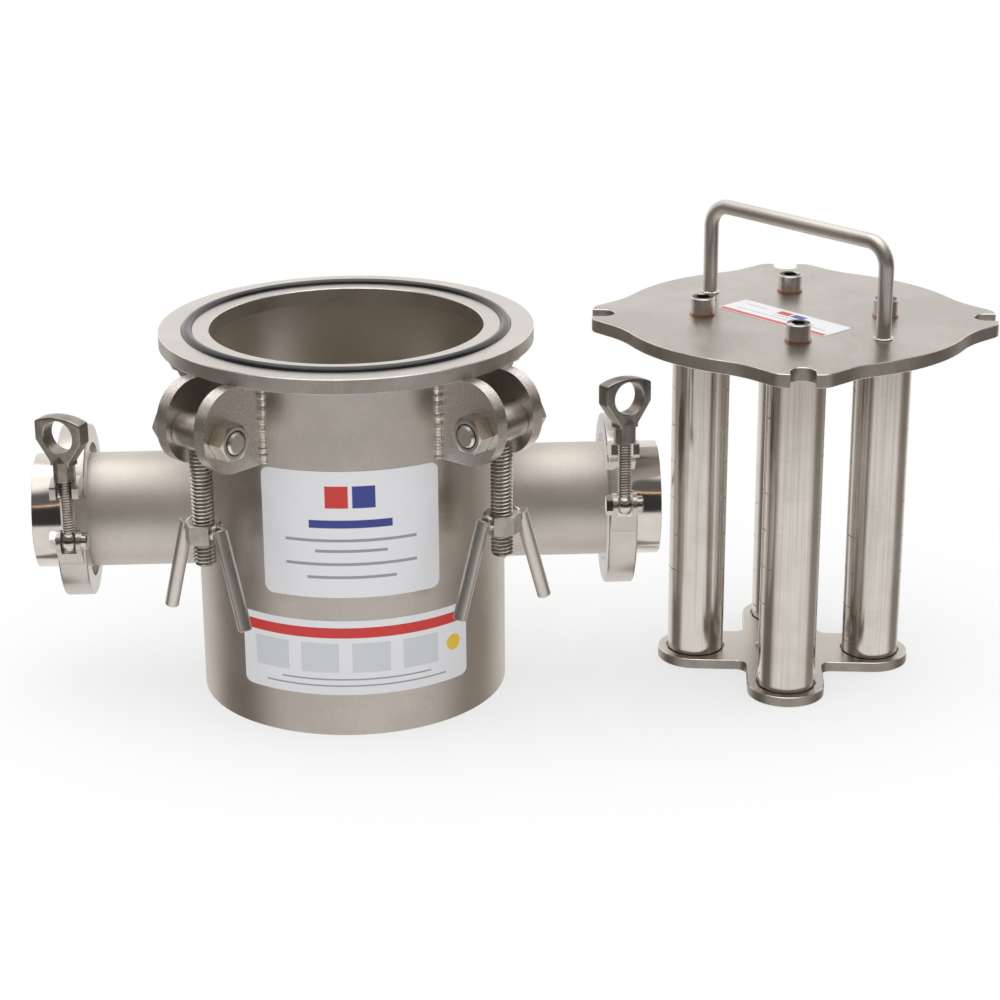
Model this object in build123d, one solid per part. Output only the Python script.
from build123d import *
import math
import os

# Inline magnetic filter in stainless steel: a flanged housing with an inlet and an outlet
# for pipe clamps, four swing bolts, and the magnet insert that stands beside it.
# Millimetres, +Z up, X along the pipe from inlet to outlet.
# The origin is the centre of the housing's underside.

# Radial play of parts that turn and of parts that only sit, and a small length for comparing
RUNNING_FIT = 0.08
AXIS_FIT = 0.05
SMALL = 0.01

# Housing shell, base and top flange
SHELL_RADIUS = 115.0
SHELL_WALL = 3.0
HOUSING_HEIGHT = 278.0
BASE_THICKNESS = 4.0
FLANGE_RADIUS = 137.5
FLANGE_THICKNESS = 11.0
FLANGE_BORE_RADIUS = 100.5
FLANGE_EDGE_BREAK = 0.6
SEAL_RADIUS = 116.9
SEAL_CORD_RADIUS = 4.0
SEAL_GROOVE_WIDTH = 8.2
SEAL_GROOVE_DEPTH = 5.0

# Pipe ends: DN 80 tube, weld ferrules and gaskets
PIPE_RADIUS = 42.5
PIPE_WALL = 2.0
PIPE_AXIS_HEIGHT = 138.0
CLAMP_PLANES = {"inlet": -203.0, "outlet": 199.5}
FERRULE_LENGTH = 28.6
STUB_LENGTH = 29.5
GASKET_THICKNESS = 2.0
GASKET_RADIUS = 47.5
FERRULE_RADIUS = 53.0
FERRULE_RIM = 2.8
FERRULE_TAPER = 20.0
FERRULE_NECK_RADIUS = 45.0
FERRULE_NECK_BLEND = 2.5
BEAD_CIRCLE_RADIUS = 44.3
BEAD_RADIUS = 1.2

# Pipe clamps
CLAMP_RADIUS = 64.0
CLAMP_HALF_WIDTH = 10.5
CLAMP_LIP_RADIUS = 50.0
CLAMP_GROOVE_RADIUS = 54.4
CLAMP_EDGE_ROUND = 1.6
UPPER_HALF_ANGLES = (30.0, 170.0)
LOWER_HALF_ANGLES = (-172.0, -6.0)
HINGE_RADIUS = 70.0
HINGE_EYE_RADIUS = 7.5
HINGE_PIN_RADIUS = 3.5
HINGE_PIN_HEAD_RADIUS = 5.5
HINGE_PIN_HEAD_HEIGHT = 2.5
HINGE_CENTRE_WIDTH = 8.6
HINGE_SIDE_GAP = 0.2
HINGE_ARM_Y = 59.0
HINGE_ARM_Z = 14.0
HINGE_ARM_RADIUS = 6.0
BOLT_REACH = 72.0
BOLT_PIVOT_RISE = 2.0
BOLT_PIN_RADIUS = 3.0
BOLT_EYE_RADIUS = 8.0
BOLT_EYE_WIDTH = 10.0
BOLT_EYE_CHAMFER = 0.8
LOWER_EAR_RADIUS = 8.5
LOWER_EAR_HALF_WIDTH = 8.8
LOWER_EAR_SLOT = 10.8
LOWER_EAR_SLOT_GAP = 0.6
LOWER_EAR_ROOT_Y = -59.0
LOWER_EAR_ROOT_Z = -12.0
PIN_NUT_FLATS = 13.0
PIN_NUT_HEIGHT = 4.8
PIN_NUT_CHAMFER = 0.6
PIN_HEAD_RADIUS = 6.2
PIN_HEAD_CHAMFER = 1.2
NUT_SEAT_HEIGHT = 47.0
FORK_THICKNESS = 12.0
FORK_HALF_WIDTH = 10.2
FORK_SLOT = 11.6
FORK_FRONT = 84.5
FORK_BACK = 48.0
FORK_SLOT_BACK = 63.0
FORK_ROUND = 3.0
CLAMP_THREAD_RADIUS = 5.0
CLAMP_BOLT_LENGTH = 60.0
CLAMP_ROLLS = {"inlet": 0.0, "outlet": -14.0}
BOLT_LEANS = {"inlet": 0.0, "outlet": 10.0}
WING_TURNS = {"inlet": -27.0, "outlet": 28.0}

# Wing nuts of the clamps
WING_HEIGHT = 48.0
WING_HALF_WIDTH = 19.0
WING_SHOULDER_HEIGHT = 30.0
WING_CORNER_HEIGHT = 44.0
WING_NECK_RADIUS = 8.0
WING_NECK_HEIGHT = 14.5
WING_NECK_OVERLAP = 3.0
WING_PLATE_THICKNESS = 12.0
WING_HOLE_RADIUS = 12.0
WING_HOLE_HEIGHT = 33.5
WING_BORE_DEPTH = 17.0
WING_EDGE_ROUND = 1.2
WING_CORNER_ROUND = 2.5
WING_HOLE_CHAMFER = 0.7

# Lugs and swing bolts on the four diagonals
PIVOT_RADIUS = 149.5
PIVOT_DROP = 34.5
LUG_INNER_FACE = 14.0
LUG_THICKNESS = 10.0
LUG_REACH = 167.0
LUG_HEIGHT = 62.0
LUG_CORNER_RADIUS = 28.0
BOLT_RADIUS = 8.0
NUT_FLATS = 24.0
PIVOT_HEAD_HEIGHT = 10.0
PIVOT_NUT_HEIGHT = 13.0
PIVOT_BOLT_END = 2.0
HEXAGON_CHAMFER = 0.8
HEXAGON_FACE_SHARE = 0.95
SWING_TUBE_RADIUS = 13.5
SWING_TUBE_LENGTH = 27.4
SWING_TUBE_CHAMFER = 0.6
STUD_LENGTH = 98.0
STUD_CHAMFER = 1.5
LUG_AZIMUTHS = {"front_left": -133.5, "front_right": -43.5, "rear_right": 46.5, "rear_left": 136.5}
NUT_SIDES = {"front_left": 1, "front_right": -1, "rear_right": 1, "rear_left": -1}

# Handle nuts on the swing bolts: a hexagon nut with two welded round bars
HANDLE_NUT_DROP = 73.5
HANDLE_NUT_HEIGHT = 14.8
HANDLE_NUT_CHAMFER = 1.0
BAR_RADIUS = 5.0
BAR_TOP_OFFSET = 16.8
BAR_TOP_RISE = 5.0
BAR_TIP_OFFSET = 38.5
BAR_TIP_DROP = 66.0
NUT_TURNS = {"front_left": 0, "front_right": -12, "rear_right": 9, "rear_left": -5}
BAR_END_BREAK = 0.6

# Labels on the shell, as thin curved stickers: azimuths in degrees and heights
LABEL_THICKNESS = 0.25
UPPER_LABEL = {"azimuths": (-122.5, -56.5), "heights": (108.0, 203.5), "corner": 6.0}
LOWER_LABEL = {"azimuths": (-133.5, -44.0), "heights": (32.0, 90.0), "corner": 5.0}

# Magnet insert: where it stands and how it is turned
INSERT_X = 331.8
INSERT_Y = 8.0
INSERT_TURN = -6.5
GUIDE_THICKNESS = 8.0
GUIDE_LOBE_RADIUS = 28.8
GUIDE_INNER_ROUND = 8.0
GUIDE_HOLE_RADIUS = 20.0
TUBE_CIRCLE_RADIUS = 67.5
TUBE_RADIUS = 21.5
TUBE_WALL = 1.5
TUBE_FIT = 0.1
RECESS_DEPTH = 2.0
RECESS_CLEARANCE = 1.2
COVER_UNDERSIDE = 266.0
COVER_THICKNESS = 10.0
COVER_DISC_RADIUS = 131.5
COVER_LOBE_REACH = 150.0
COVER_TIP_HALF_WIDTH = 17.0
COVER_LOBE_SPREAD = 68.0
COVER_TIP_ROUND = 12.0
COVER_NECK_ROUND = 78.0
COVER_SLOT_WIDTH = 18.0
COVER_SLOT_RADIUS = 142.0
COVER_EDGE_BREAK = 0.5
TOP_PLUG_THICKNESS = 15.0
BOTTOM_PLUG_THICKNESS = 10.0
MAGNETS_PER_TUBE = 8
MAGNET_LENGTH = 25.0
COVER_SCREW_RADIUS = 6.0
COVER_SCREW_HEAD_RADIUS = 9.0
COVER_SCREW_HEAD_HEIGHT = 12.0
COVER_SCREW_LENGTH = 23.0
COVER_SCREW_SOCKET = 10.0
COVER_SCREW_SOCKET_DEPTH = 6.0
COVER_SCREW_CLEARANCE = 0.5
COVER_SCREW_HEAD_CHAMFER = 0.8
WASHER_RADIUS = 9.7
WASHER_THICKNESS = 1.5
GUIDE_SCREW_RADIUS = 4.0
GUIDE_SCREW_HEAD_RADIUS = 8.0
GUIDE_SCREW_HEAD_HEIGHT = 4.4
GUIDE_SCREW_LENGTH = 15.0
GUIDE_SCREW_SOCKET = 5.0
GUIDE_SCREW_SOCKET_DEPTH = 2.5
LIFT_BAR_RADIUS = 5.5
LIFT_HALF_SPAN = 86.4
LIFT_RISE = 75.0
LIFT_BEND_RADIUS = 17.0
LIFT_AZIMUTH = -45.0
COVER_LABEL_LENGTH = 106.0
COVER_LABEL_WIDTH = 31.5
COVER_LABEL_CORNER = 3.0
COVER_LABEL_SHIFT = -11.0

FLANGE_UNDERSIDE = HOUSING_HEIGHT - FLANGE_THICKNESS
PIVOT_HEIGHT = FLANGE_UNDERSIDE - PIVOT_DROP
SHELL_BORE = SHELL_RADIUS - SHELL_WALL
PIPE_BORE = PIPE_RADIUS - PIPE_WALL
LUG_OUTER_FACE = LUG_INNER_FACE + LUG_THICKNESS
TUBE_FOOT = GUIDE_THICKNESS - RECESS_DEPTH
COVER_TOP = COVER_UNDERSIDE + COVER_THICKNESS
COVER_SCREW_TIP = COVER_TOP + WASHER_THICKNESS - COVER_SCREW_LENGTH
QUARTERS = (0, 90, 180, 270)


def upright(radius, bottom, top, x=0.0, y=0.0):
    """A vertical round bar between two heights."""
    return Pos(x, y, (bottom + top) / 2) * Cylinder(radius, top - bottom)


def along_x(radius, start, end, y=0.0, z=0.0):
    """A round bar along X between two positions."""
    return Pos((start + end) / 2, y, z) * Rot(0, 90, 0) * Cylinder(radius, end - start)


def along_y(radius, start, end, x=0.0, z=0.0):
    """A round bar along Y between two positions."""
    return Pos(x, (start + end) / 2, z) * Rot(90, 0, 0) * Cylinder(radius, end - start)


def hexagon_block(flats, height, chamfer_drop=HEXAGON_CHAMFER):
    """A hexagon prism along Z, centred, with the corners turned off at both ends."""
    prism = extrude(RegularPolygon(flats / 2, 6, major_radius=False), height / 2, both=True)
    corner = flats / math.sqrt(3) + SMALL
    face = flats / 2 * HEXAGON_FACE_SHARE
    half = height / 2
    rim = half - chamfer_drop
    outline = Polyline((0, -half), (face, -half), (corner, -rim),
                       (corner, rim), (face, half), (0, half), close=True)
    turned = revolve(Plane.XZ * make_face(outline), Axis.Z)
    return prism & turned


def corner_edges(solid, low, high):
    """Upright edges whose distance from the axis lies between low and high."""
    upright_edges = solid.edges().filter_by(Axis.Z)
    return [e for e in upright_edges if low < math.hypot(e.center().X, e.center().Y) < high]


def write(name, shape):
    """Save one sub-part as a STEP file named after its node."""
    export_step(shape, f"parts/{name}.step")


def group(solids):
    """Several separate solids of one kind, kept together."""
    return Compound(children=[Solid(s.wrapped) if isinstance(s, Solid) else s.solid() for s in solids])


# Housing


def housing_shell():
    """Rolled and welded shell with the two holes where the pipes are set on."""
    body = upright(SHELL_RADIUS, 0, FLANGE_UNDERSIDE) - upright(SHELL_BORE, 0, FLANGE_UNDERSIDE)
    return body - along_x(PIPE_BORE, -SHELL_RADIUS - 1, SHELL_RADIUS + 1, z=PIPE_AXIS_HEIGHT)


def bottom_plate():
    return upright(SHELL_BORE, 0, BASE_THICKNESS)


def top_flange():
    """Ring with the seal groove turned in its top face."""
    ring = upright(FLANGE_RADIUS, FLANGE_UNDERSIDE, HOUSING_HEIGHT)
    ring = chamfer(ring.edges().filter_by(GeomType.CIRCLE), FLANGE_EDGE_BREAK)
    bore = upright(FLANGE_BORE_RADIUS, FLANGE_UNDERSIDE - 1, HOUSING_HEIGHT + 1)
    groove_floor = HOUSING_HEIGHT - SEAL_GROOVE_DEPTH
    groove = upright(SEAL_RADIUS + SEAL_GROOVE_WIDTH / 2, groove_floor, HOUSING_HEIGHT + 1)
    groove -= upright(SEAL_RADIUS - SEAL_GROOVE_WIDTH / 2, groove_floor - 1, HOUSING_HEIGHT + 2)
    return ring - bore - groove


def o_ring():
    centre = HOUSING_HEIGHT - SEAL_GROOVE_DEPTH + SEAL_CORD_RADIUS
    return Pos(0, 0, centre) * Torus(SEAL_RADIUS, SEAL_CORD_RADIUS)


def facing_out(name):
    """+1 for the end that points along +X and -1 for the other."""
    return 1 if CLAMP_PLANES[name] > 0 else -1


def on_pipe(name, offset, shape):
    """Set a part on a pipe's axis, this far outside its clamp plane."""
    return Pos(CLAMP_PLANES[name] + facing_out(name) * offset, 0, PIPE_AXIS_HEIGHT) * shape


def pipe(name):
    """Tube between the shell and the ferrule, its root cut to the shell's curve."""
    end = abs(CLAMP_PLANES[name]) - FERRULE_LENGTH
    body = along_x(PIPE_RADIUS, SHELL_BORE - PIPE_RADIUS, end) - along_x(PIPE_BORE, 0, end + 1)
    body = Pos(0, 0, PIPE_AXIS_HEIGHT) * body
    body -= upright(SHELL_RADIUS, 0, HOUSING_HEIGHT)
    return body if facing_out(name) > 0 else Rot(0, 0, 180) * body


def ferrule_profile(length):
    """Half section of a ferrule: its sealing face is at X = 0 and its tube runs to X = length."""
    slope = math.tan(math.radians(FERRULE_TAPER))
    back = FERRULE_RIM + (FERRULE_RADIUS - FERRULE_NECK_RADIUS) * slope
    outline = Polyline(
        (0, PIPE_BORE), (0, FERRULE_RADIUS), (FERRULE_RIM, FERRULE_RADIUS),
        (back, FERRULE_NECK_RADIUS), (back + FERRULE_NECK_BLEND, PIPE_RADIUS),
        (length, PIPE_RADIUS), (length, PIPE_BORE), close=True)
    return make_face(outline) - Pos(0, BEAD_CIRCLE_RADIUS) * Circle(BEAD_RADIUS + AXIS_FIT)


def ferrule(length, facing):
    """Ferrule with its sealing face at X = 0; facing says which way its tube runs."""
    body = revolve(ferrule_profile(length), Axis.X)
    return body if facing > 0 else Rot(0, 0, 180) * body


def housing_ferrule(name):
    body = ferrule(FERRULE_LENGTH - GASKET_THICKNESS / 2, -facing_out(name))
    return on_pipe(name, -GASKET_THICKNESS / 2, body)


def pipe_stub(name):
    return on_pipe(name, GASKET_THICKNESS / 2, ferrule(STUB_LENGTH, facing_out(name)))


def gasket(name):
    """Flat ring with a round bead on each face."""
    half = GASKET_THICKNESS / 2
    middle = (PIPE_BORE + GASKET_RADIUS) / 2
    section = Pos(0, middle) * Rectangle(GASKET_THICKNESS, GASKET_RADIUS - PIPE_BORE)
    section += Pos(-half, BEAD_CIRCLE_RADIUS) * Circle(BEAD_RADIUS)
    section += Pos(half, BEAD_CIRCLE_RADIUS) * Circle(BEAD_RADIUS)
    return on_pipe(name, 0, revolve(section, Axis.X))


# Pipe clamps, drawn about the pipe axis with the bolt at the front, along -Y


def clamp_profile():
    """Section of a clamp half: a band with a tapered groove that wedges the two ferrules."""
    slope = math.tan(math.radians(FERRULE_TAPER))
    rim = FERRULE_RIM + GASKET_THICKNESS / 2 + AXIS_FIT
    lip = rim + (FERRULE_RADIUS - CLAMP_LIP_RADIUS) * slope
    floor = rim - (CLAMP_GROOVE_RADIUS - FERRULE_RADIUS) * slope
    width = CLAMP_HALF_WIDTH
    outline = make_face(Polyline(
        (-width, CLAMP_LIP_RADIUS), (-lip, CLAMP_LIP_RADIUS), (-floor, CLAMP_GROOVE_RADIUS),
        (floor, CLAMP_GROOVE_RADIUS), (lip, CLAMP_LIP_RADIUS), (width, CLAMP_LIP_RADIUS),
        (width, CLAMP_RADIUS), (-width, CLAMP_RADIUS), close=True))
    outer = [v for v in outline.vertices() if v.Y > CLAMP_RADIUS - 1]
    return fillet(outer, CLAMP_EDGE_ROUND)


def clamp_band(angles):
    """Part of the band; angles run from the front of the clamp over its top."""
    start, end = angles
    return Rot(180 - end, 0, 0) * revolve(clamp_profile(), Axis.X, end - start)


def side_link(start, end, radius, half_width):
    """Stadium drawn in the YZ plane between two points, as thick as twice half_width."""
    run = Vector(*end) - Vector(*start)
    middle = (Vector(*end) + Vector(*start)) / 2
    turn = math.degrees(math.atan2(run.Y, run.X))
    shape = Pos(middle.X, middle.Y) * Rot(0, 0, turn) * SlotCenterToCenter(run.length, 2 * radius)
    return extrude(Plane.YZ * shape, half_width, both=True)


def side_slot(width, reach):
    """Block that cuts a slot of this width across the clamp, wide and tall enough to clear it."""
    return Box(width, reach, reach)


def placed_clamp(name, shape):
    """Put a clamp part on its pipe end, rolled about the pipe axis as the clamp was closed."""
    return on_pipe(name, 0, Rot(CLAMP_ROLLS[name], 0, 0) * shape)


def leaning(name, shape):
    """Lean a part of the clamp's bolt outwards about the bolt's pivot."""
    pivot = Pos(0, -BOLT_REACH, BOLT_PIVOT_RISE)
    return pivot * Rot(BOLT_LEANS[name], 0, 0) * pivot.inverse() * shape


def bolt_pivot_rod(radius, half_length):
    return along_x(radius, -half_length, half_length, y=-BOLT_REACH, z=BOLT_PIVOT_RISE)


def clamp_upper_half():
    """Upper band with the fork that the wing nut bears on and the middle hinge eye."""
    bore_fit = HINGE_PIN_RADIUS + AXIS_FIT
    arm = side_link((HINGE_RADIUS, 0), (HINGE_ARM_Y, HINGE_ARM_Z), HINGE_ARM_RADIUS, HINGE_CENTRE_WIDTH / 2)
    eye = along_x(HINGE_EYE_RADIUS, -HINGE_CENTRE_WIDTH / 2, HINGE_CENTRE_WIDTH / 2, y=HINGE_RADIUS)
    seat = NUT_SEAT_HEIGHT + BOLT_PIVOT_RISE
    fork = Pos(0, -(FORK_FRONT + FORK_BACK) / 2, seat - FORK_THICKNESS / 2) * Box(
        2 * FORK_HALF_WIDTH, FORK_FRONT - FORK_BACK, FORK_THICKNESS)
    fork = fillet(fork.edges().filter_by(Axis.X).sort_by(Axis.Y)[:2], FORK_ROUND)
    fork &= bolt_pivot_rod(NUT_SEAT_HEIGHT, FORK_HALF_WIDTH + 1)
    slot_end = Pos(0, -(FORK_FRONT + FORK_SLOT_BACK) / 2 - 1, seat) * Box(
        FORK_SLOT, FORK_FRONT - FORK_SLOT_BACK + 2, 4 * FORK_THICKNESS)
    half = clamp_band(UPPER_HALF_ANGLES) + (fork - slot_end) + arm + eye
    return half - along_x(bore_fit, -CLAMP_RADIUS, CLAMP_RADIUS, y=HINGE_RADIUS)


def clamp_lower_half():
    """Lower band with two ears for the swing bolt in front and two hinge eyes behind."""
    pivot = (-BOLT_REACH, BOLT_PIVOT_RISE)
    ears = side_link(pivot, (LOWER_EAR_ROOT_Y, LOWER_EAR_ROOT_Z), LOWER_EAR_RADIUS, LOWER_EAR_HALF_WIDTH)
    slot_floor = BOLT_PIVOT_RISE - BOLT_EYE_RADIUS - LOWER_EAR_SLOT_GAP
    ears -= Pos(0, 0, slot_floor + 2 * CLAMP_RADIUS) * side_slot(LOWER_EAR_SLOT, 4 * CLAMP_RADIUS)
    ears -= along_x((CLAMP_GROOVE_RADIUS + CLAMP_RADIUS) / 2, -CLAMP_RADIUS, CLAMP_RADIUS)
    arm = side_link((HINGE_RADIUS, 0), (HINGE_ARM_Y, -HINGE_ARM_Z), HINGE_ARM_RADIUS, CLAMP_HALF_WIDTH)
    eye = along_x(HINGE_EYE_RADIUS, -CLAMP_HALF_WIDTH, CLAMP_HALF_WIDTH, y=HINGE_RADIUS)
    knuckles = arm + eye - side_slot(HINGE_CENTRE_WIDTH + 2 * HINGE_SIDE_GAP, 4 * CLAMP_RADIUS)
    half = clamp_band(LOWER_HALF_ANGLES) + ears + knuckles
    half -= along_x(HINGE_PIN_RADIUS + AXIS_FIT, -CLAMP_RADIUS, CLAMP_RADIUS, y=HINGE_RADIUS)
    return half - bolt_pivot_rod(BOLT_PIN_RADIUS + AXIS_FIT, CLAMP_RADIUS)


def clamp_hinge_pin():
    """Rear hinge pin with a riveted head at each end."""
    half = CLAMP_HALF_WIDTH
    end = half + HINGE_PIN_HEAD_HEIGHT
    pin = along_x(HINGE_PIN_RADIUS, -end, end, y=HINGE_RADIUS)
    pin += along_x(HINGE_PIN_HEAD_RADIUS, half, end, y=HINGE_RADIUS)
    return pin + along_x(HINGE_PIN_HEAD_RADIUS, -end, -half, y=HINGE_RADIUS)


def clamp_bolt_pin():
    """Pivot screw of the swing bolt, its round head on the +X side."""
    ear = LOWER_EAR_HALF_WIDTH
    end = ear + PIN_NUT_HEIGHT
    pin = bolt_pivot_rod(BOLT_PIN_RADIUS, end)
    head = along_x(PIN_HEAD_RADIUS, ear, end, y=-BOLT_REACH, z=BOLT_PIVOT_RISE)
    return pin + chamfer(head.edges().sort_by(Axis.X)[-1:], PIN_HEAD_CHAMFER)


def clamp_pin_nut():
    """Small hexagon nut on the pivot screw."""
    x = -LOWER_EAR_HALF_WIDTH - PIN_NUT_HEIGHT / 2
    nut = Rot(0, 90, 0) * hexagon_block(PIN_NUT_FLATS, PIN_NUT_HEIGHT, PIN_NUT_CHAMFER)
    bore = bolt_pivot_rod(BOLT_PIN_RADIUS, CLAMP_RADIUS)
    return Pos(x, -BOLT_REACH, BOLT_PIVOT_RISE) * nut - bore


def clamp_eye_bolt():
    """Swing bolt of the clamp: a thick eye on the pivot screw and a plain threaded stem."""
    eye = bolt_pivot_rod(BOLT_EYE_RADIUS, BOLT_EYE_WIDTH / 2)
    eye = chamfer(eye.edges().filter_by(GeomType.CIRCLE), BOLT_EYE_CHAMFER)
    top = BOLT_PIVOT_RISE + CLAMP_BOLT_LENGTH
    stem = upright(CLAMP_THREAD_RADIUS, BOLT_PIVOT_RISE, top, y=-BOLT_REACH)
    stem = chamfer(stem.edges().sort_by(Axis.Z)[-1:], BOLT_EYE_CHAMFER)
    return eye + stem - bolt_pivot_rod(BOLT_PIN_RADIUS + RUNNING_FIT, CLAMP_RADIUS)


def wing_outline():
    """Front view of the wing nut's head above its neck."""
    w = WING_HALF_WIDTH
    n = WING_NECK_RADIUS
    lines = Polyline((-w, WING_CORNER_HEIGHT), (-w, WING_SHOULDER_HEIGHT), (-n, WING_NECK_HEIGHT),
                     (-n, WING_NECK_HEIGHT - WING_NECK_OVERLAP), (n, WING_NECK_HEIGHT - WING_NECK_OVERLAP),
                     (n, WING_NECK_HEIGHT), (w, WING_SHOULDER_HEIGHT), (w, WING_CORNER_HEIGHT))
    crown = ThreePointArc((w, WING_CORNER_HEIGHT), (0, WING_HEIGHT), (-w, WING_CORNER_HEIGHT))
    face = make_face(lines + crown)
    corners = [v for v in face.vertices() if abs(abs(v.X) - w) < SMALL]
    return fillet(corners, WING_CORNER_ROUND)


def wing_nut():
    """Cast wing nut: eight-sided neck, flat head with a large finger hole, blind thread below."""
    head = extrude(Plane.XZ * wing_outline(), WING_PLATE_THICKNESS / 2, both=True)
    head = fillet(head.faces().filter_by(Axis.Y).edges(), WING_EDGE_ROUND)
    head -= along_y(WING_HOLE_RADIUS, -WING_HALF_WIDTH, WING_HALF_WIDTH, z=WING_HOLE_HEIGHT)
    arcs = head.edges().filter_by(GeomType.CIRCLE)
    rims = [arc for arc in arcs if abs(arc.radius - WING_HOLE_RADIUS) < SMALL]
    head = chamfer(rims, WING_HOLE_CHAMFER)
    neck = extrude(RegularPolygon(WING_NECK_RADIUS, 8), WING_NECK_HEIGHT)
    foot = Pos(0, 0, WING_NECK_HEIGHT) * RegularPolygon(WING_NECK_RADIUS, 8)
    tip = Pos(0, 0, WING_SHOULDER_HEIGHT - WING_HOLE_RADIUS / 2) * RegularPolygon(WING_NECK_RADIUS / 2, 8)
    neck += loft([foot.face(), tip.face()])
    reach = 2 * WING_HALF_WIDTH
    neck -= along_y(WING_HOLE_RADIUS + WING_HOLE_CHAMFER, -reach, reach, z=WING_HOLE_HEIGHT)
    return head + neck - upright(CLAMP_THREAD_RADIUS + RUNNING_FIT, -1, WING_BORE_DEPTH)


def placed_wing_nut(name):
    seat = BOLT_PIVOT_RISE + NUT_SEAT_HEIGHT + AXIS_FIT
    nut = Rot(0, 0, WING_TURNS[name]) * wing_nut()
    return placed_clamp(name, leaning(name, Pos(0, -BOLT_REACH, seat) * nut))


# Lugs and swing bolts, drawn with the lug pointing along +X and then turned to its diagonal


def lug_plate(offset):
    """Upright plate with two large outer corners, cut to the shell and drilled for the pivot."""
    low = FLANGE_UNDERSIDE - LUG_HEIGHT
    start = SHELL_BORE - LUG_OUTER_FACE
    middle = (start + LUG_REACH) / 2
    face = Pos(middle, (low + FLANGE_UNDERSIDE) / 2) * Rectangle(LUG_REACH - start, LUG_HEIGHT)
    face = fillet([v for v in face.vertices() if v.X > middle], LUG_CORNER_RADIUS)
    plate = Pos(0, offset, 0) * extrude(Plane.XZ * face, LUG_THICKNESS / 2, both=True)
    plate -= upright(SHELL_RADIUS, 0, HOUSING_HEIGHT)
    reach = 2 * LUG_OUTER_FACE
    return plate - along_y(BOLT_RADIUS, -reach, reach, x=PIVOT_RADIUS, z=PIVOT_HEIGHT)


def lug_pair(corner):
    offset = (LUG_INNER_FACE + LUG_OUTER_FACE) / 2
    pair = [lug_plate(offset), lug_plate(-offset)]
    return group([Rot(0, 0, LUG_AZIMUTHS[corner]) * plate for plate in pair])


def pivot_place(corner):
    """Frame on the pivot of one diagonal, with +Y towards the side that carries the nut."""
    flip = 0 if NUT_SIDES[corner] > 0 else 180
    return Rot(0, 0, LUG_AZIMUTHS[corner]) * Pos(PIVOT_RADIUS, 0, PIVOT_HEIGHT) * Rot(0, 0, flip)


def pivot_bolt():
    """Hexagon head bolt through both lug plates."""
    end = LUG_OUTER_FACE + PIVOT_NUT_HEIGHT + PIVOT_BOLT_END
    head = Rot(90, 0, 0) * hexagon_block(NUT_FLATS, PIVOT_HEAD_HEIGHT)
    shank = along_y(BOLT_RADIUS, -LUG_OUTER_FACE, end)
    shank = chamfer(shank.edges().sort_by(Axis.Y)[-1:], STUD_CHAMFER)
    return shank + Pos(0, -LUG_OUTER_FACE - PIVOT_HEAD_HEIGHT / 2, 0) * head


def pivot_nut():
    nut = Rot(90, 0, 0) * hexagon_block(NUT_FLATS, PIVOT_NUT_HEIGHT)
    nut = Pos(0, LUG_OUTER_FACE + PIVOT_NUT_HEIGHT / 2, 0) * nut
    return nut - along_y(BOLT_RADIUS, 0, 2 * LUG_OUTER_FACE)


def nut_place(corner):
    """Frame on the stud's axis at the height of the handle nut, turned as the nut was left."""
    turn = Rot(0, 0, NUT_TURNS[corner])
    return pivot_place(corner) * Pos(0, 0, -HANDLE_NUT_DROP) * turn


def swing_bolt():
    """Cross tube on the pivot bolt, and the threaded stud that is welded under it."""
    half = SWING_TUBE_LENGTH / 2
    outside = along_y(SWING_TUBE_RADIUS, -half, half)
    tube = chamfer(outside.edges().filter_by(GeomType.CIRCLE), SWING_TUBE_CHAMFER)
    tube -= along_y(BOLT_RADIUS + RUNNING_FIT, -half, half)
    stud = upright(BOLT_RADIUS, -STUD_LENGTH, 0) - outside
    stud = chamfer(stud.edges().sort_by(Axis.Z)[:1], STUD_CHAMFER)
    return [tube, stud]


def handle_nut():
    """Hexagon nut on the stud, two of its flats facing along the pivot bolt."""
    nut = hexagon_block(NUT_FLATS, HANDLE_NUT_HEIGHT, HANDLE_NUT_CHAMFER)
    return nut - upright(BOLT_RADIUS + RUNNING_FIT, -HANDLE_NUT_HEIGHT, HANDLE_NUT_HEIGHT)


def nut_bar(side):
    """Round bar from the flat of the nut down and outwards."""
    top = Vector(0, side * BAR_TOP_OFFSET, BAR_TOP_RISE)
    tip = Vector(0, side * BAR_TIP_OFFSET, -BAR_TIP_DROP)
    run = tip - top
    bar = extrude(Plane(top, x_dir=(1, 0, 0), z_dir=run) * Circle(BAR_RADIUS), run.length)
    bar = chamfer(bar.edges().filter_by(GeomType.CIRCLE), BAR_END_BREAK)
    keep = Box(4 * NUT_FLATS, NUT_FLATS, 4 * NUT_FLATS)
    return bar - keep


# Labels


def curved_label(label):
    """Thin sticker wrapped on the shell, its corners rounded."""
    start, end = label["azimuths"]
    low, high = label["heights"]
    middle = (start + end) / 2
    width = 2 * SHELL_RADIUS * math.sin(math.radians((end - start) / 2))
    face = RectangleRounded(width, high - low, label["corner"])
    block = extrude(Plane.XZ * Pos(0, (low + high) / 2) * face, SHELL_RADIUS + 1)
    skin = upright(SHELL_RADIUS + LABEL_THICKNESS, low, high) - upright(SHELL_RADIUS, low, high)
    return Rot(0, 0, middle + 90) * (skin & block)


# Magnet insert, drawn about its own axis and then stood beside the housing


def placed_insert(shape):
    return Pos(INSERT_X, INSERT_Y, 0) * Rot(0, 0, INSERT_TURN) * shape


def at_tube(index, shape):
    azimuth = math.radians(QUARTERS[index])
    return Pos(TUBE_CIRCLE_RADIUS * math.cos(azimuth), TUBE_CIRCLE_RADIUS * math.sin(azimuth), 0) * shape


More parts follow.
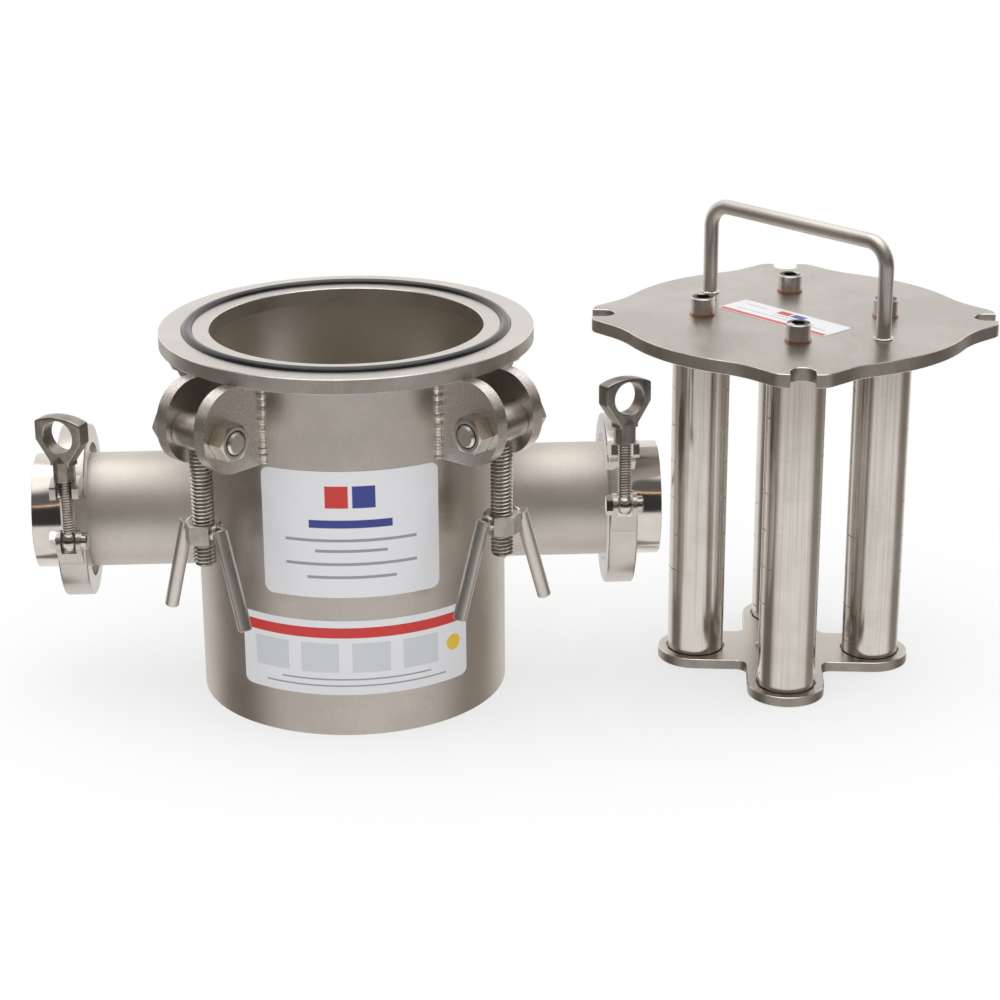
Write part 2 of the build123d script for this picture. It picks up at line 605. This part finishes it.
def guide_plate():
    """Cross-shaped plate with round lobe ends, a recess for each tube and a centre hole."""
    arm = SlotCenterToCenter(2 * TUBE_CIRCLE_RADIUS, 2 * GUIDE_LOBE_RADIUS)
    plate = extrude(arm + Rot(0, 0, 90) * arm, GUIDE_THICKNESS)
    plate = fillet(corner_edges(plate, 0, GUIDE_LOBE_RADIUS * 1.5), GUIDE_INNER_ROUND)
    plate -= upright(GUIDE_HOLE_RADIUS, -1, GUIDE_THICKNESS + 1)
    plate = chamfer(plate.faces().filter_by(Axis.Z).edges(), COVER_EDGE_BREAK)
    sink = guide_screw_body()
    for index in range(len(QUARTERS)):
        plate -= at_tube(index, upright(TUBE_RADIUS + RECESS_CLEARANCE, TUBE_FOOT, GUIDE_THICKNESS + 1))
        plate -= at_tube(index, sink)
    return plate


def guide_screw_body():
    """Countersunk screw that holds a tube on the guide plate, without its socket."""
    cone_top = GUIDE_SCREW_HEAD_HEIGHT
    outline = Polyline((0, 0), (GUIDE_SCREW_HEAD_RADIUS, 0), (GUIDE_SCREW_RADIUS, cone_top),
                       (GUIDE_SCREW_RADIUS, GUIDE_SCREW_LENGTH), (0, GUIDE_SCREW_LENGTH), close=True)
    return revolve(Plane.XZ * make_face(outline), Axis.Z)


def guide_screw():
    hexagon = RegularPolygon(GUIDE_SCREW_SOCKET / 2, 6, major_radius=False)
    return guide_screw_body() - extrude(hexagon, GUIDE_SCREW_SOCKET_DEPTH)


def magnet_tube():
    """Sleeve that stands in its recess and carries the cover on its top end."""
    outer = upright(TUBE_RADIUS, TUBE_FOOT, COVER_UNDERSIDE)
    return outer - upright(TUBE_RADIUS - TUBE_WALL, TUBE_FOOT, COVER_UNDERSIDE)


def top_plug():
    """Tapped plug welded into the tube's top end."""
    plug = upright(TUBE_RADIUS - TUBE_WALL, COVER_UNDERSIDE - TOP_PLUG_THICKNESS, COVER_UNDERSIDE)
    return plug - upright(COVER_SCREW_RADIUS, COVER_SCREW_TIP, COVER_UNDERSIDE)


def bottom_plug():
    plug = upright(TUBE_RADIUS - TUBE_WALL, TUBE_FOOT, TUBE_FOOT + BOTTOM_PLUG_THICKNESS)
    return plug - upright(GUIDE_SCREW_RADIUS, TUBE_FOOT, GUIDE_SCREW_LENGTH)


def stack_spans():
    """Heights of the magnets and of the steel pole discs between the two plugs."""
    low = TUBE_FOOT + BOTTOM_PLUG_THICKNESS
    high = COVER_UNDERSIDE - TOP_PLUG_THICKNESS
    pole = (high - low - MAGNETS_PER_TUBE * MAGNET_LENGTH) / (MAGNETS_PER_TUBE + 1)
    poles = [low + i * (pole + MAGNET_LENGTH) for i in range(MAGNETS_PER_TUBE + 1)]
    return [(z, z + pole) for z in poles], [(z + pole, z + pole + MAGNET_LENGTH) for z in poles[:-1]]


def discs(spans):
    radius = TUBE_RADIUS - TUBE_WALL - TUBE_FIT
    return [upright(radius, low, high) for low, high in spans]


def cover_lobe():
    """One lobe along +X, its sides spreading at 45 degrees into the disc."""
    reach = COVER_LOBE_REACH
    tip = COVER_TIP_HALF_WIDTH
    root = reach - COVER_LOBE_SPREAD
    spread = tip + COVER_LOBE_SPREAD
    return make_face(Polyline((reach, tip), (root, spread), (root, -spread), (reach, -tip), close=True))


def cover_blank():
    """Disc with four lobes whose sides flow into it, before slots and holes are cut."""
    outline = Circle(COVER_DISC_RADIUS) + [Rot(0, 0, azimuth) * cover_lobe() for azimuth in QUARTERS]
    plate = extrude(outline, COVER_THICKNESS)
    plate &= upright(COVER_LOBE_REACH, 0, COVER_THICKNESS)
    plate = fillet(corner_edges(plate, COVER_LOBE_REACH - 1, COVER_LOBE_REACH + 1), COVER_TIP_ROUND)
    plate = fillet(corner_edges(plate, COVER_DISC_RADIUS - 1, COVER_DISC_RADIUS + 1), COVER_NECK_ROUND)
    return Pos(0, 0, COVER_UNDERSIDE) * plate


def cover_plate():
    """The cover with an open slot in each lobe and four screw holes."""
    plate = cover_blank()
    slot = SlotCenterToCenter(2 * (COVER_LOBE_REACH - COVER_SLOT_RADIUS), COVER_SLOT_WIDTH)
    slot = Pos(COVER_LOBE_REACH, 0, COVER_UNDERSIDE) * extrude(slot, COVER_THICKNESS)
    for azimuth in QUARTERS:
        plate -= Rot(0, 0, azimuth) * slot
    plate = chamfer(plate.faces().filter_by(Axis.Z).edges(), COVER_EDGE_BREAK)
    hole = upright(COVER_SCREW_RADIUS + COVER_SCREW_CLEARANCE, COVER_UNDERSIDE - 1, COVER_TOP + 1)
    for index in range(len(QUARTERS)):
        plate -= at_tube(index, hole)
    return plate


def cover_screw():
    """Socket head cap screw, its head chamfered round the top."""
    seat = COVER_TOP + WASHER_THICKNESS
    top = seat + COVER_SCREW_HEAD_HEIGHT
    head = upright(COVER_SCREW_HEAD_RADIUS, seat, top)
    head = chamfer(head.edges().sort_by(Axis.Z)[-1:], COVER_SCREW_HEAD_CHAMFER)
    hexagon = RegularPolygon(COVER_SCREW_SOCKET / 2, 6, major_radius=False)
    socket = extrude(hexagon, COVER_SCREW_SOCKET_DEPTH)
    shank = upright(COVER_SCREW_RADIUS, COVER_SCREW_TIP, seat)
    return head + shank - Pos(0, 0, top - COVER_SCREW_SOCKET_DEPTH) * socket


def cover_washer():
    ring = upright(WASHER_RADIUS, COVER_TOP, COVER_TOP + WASHER_THICKNESS)
    return ring - upright(COVER_SCREW_RADIUS, COVER_TOP, COVER_TOP + WASHER_THICKNESS)


def lift_handle():
    """Round bar bent to a wide staple, its feet welded on the cover across the centre."""
    top = LIFT_RISE - LIFT_BAR_RADIUS
    span = LIFT_HALF_SPAN
    path = FilletPolyline((-span, 0), (-span, top), (span, top), (span, 0), radius=LIFT_BEND_RADIUS)
    path = Plane.XZ * path
    bar = sweep(Plane((-span, 0, 0), z_dir=(0, 0, 1)) * Circle(LIFT_BAR_RADIUS), path=path)
    return Pos(0, 0, COVER_TOP) * Rot(0, 0, LIFT_AZIMUTH) * bar


def cover_label():
    face = RectangleRounded(COVER_LABEL_LENGTH, COVER_LABEL_WIDTH, COVER_LABEL_CORNER)
    label = extrude(Pos(0, COVER_LABEL_SHIFT) * face, LABEL_THICKNESS)
    return Pos(0, 0, COVER_TOP) * Rot(0, 0, LIFT_AZIMUTH) * label


# Write every sub-part


def write_housing():
    write("housing_shell", housing_shell())
    write("bottom_plate", bottom_plate())
    write("top_flange", top_flange())
    write("flange_o_ring", o_ring())
    for name in CLAMP_PLANES:
        write(f"{name}_pipe", pipe(name))
        write(f"{name}_ferrule", housing_ferrule(name))
        write(f"{name}_gasket", gasket(name))
        write(f"{name}_stub", pipe_stub(name))
    write("upper_label", curved_label(UPPER_LABEL))
    write("lower_label", curved_label(LOWER_LABEL))


def write_clamps():
    for name in CLAMP_PLANES:
        write(f"{name}_clamp_upper_half", placed_clamp(name, clamp_upper_half()))
        write(f"{name}_clamp_lower_half", placed_clamp(name, clamp_lower_half()))
        write(f"{name}_clamp_eye_bolt", placed_clamp(name, leaning(name, clamp_eye_bolt())))
        write(f"{name}_clamp_wing_nut", placed_wing_nut(name))
    write("clamp_hinge_pins", group([placed_clamp(name, clamp_hinge_pin()) for name in CLAMP_PLANES]))
    write("clamp_bolt_pins", group([placed_clamp(name, clamp_bolt_pin()) for name in CLAMP_PLANES]))
    write("clamp_pin_nuts", group([placed_clamp(name, clamp_pin_nut()) for name in CLAMP_PLANES]))


def write_swing_bolts():
    for corner in LUG_AZIMUTHS:
        place = pivot_place(corner)
        write(f"lugs_{corner}", lug_pair(corner))
        write(f"swing_bolt_{corner}", group([place * piece for piece in swing_bolt()]))
        write(f"handle_nut_{corner}", nut_place(corner) * handle_nut())
        write(f"nut_bars_{corner}", group([nut_place(corner) * nut_bar(side) for side in (1, -1)]))
    write("pivot_bolts", group([pivot_place(corner) * pivot_bolt() for corner in LUG_AZIMUTHS]))
    write("pivot_nuts", group([pivot_place(corner) * pivot_nut() for corner in LUG_AZIMUTHS]))


def write_insert():
    poles, magnets = stack_spans()
    spots = range(len(QUARTERS))
    write("cover_plate", placed_insert(cover_plate()))
    write("cover_label", placed_insert(cover_label()))
    write("lift_handle", placed_insert(lift_handle()))
    write("guide_plate", placed_insert(guide_plate()))
    for index in spots:
        write(f"magnet_tube_{index + 1}", placed_insert(at_tube(index, magnet_tube())))
    repeated = {"cover_screws": [cover_screw()], "cover_washers": [cover_washer()],
                "tube_top_plugs": [top_plug()], "tube_bottom_plugs": [bottom_plug()],
                "guide_screws": [guide_screw()], "pole_discs": discs(poles),
                "bar_magnets": discs(magnets)}
    for name, pieces in repeated.items():
        write(name, group([placed_insert(at_tube(index, piece)) for index in spots for piece in pieces]))


os.makedirs("parts", exist_ok=True)
write_housing()
write_clamps()
write_swing_bolts()
write_insert()
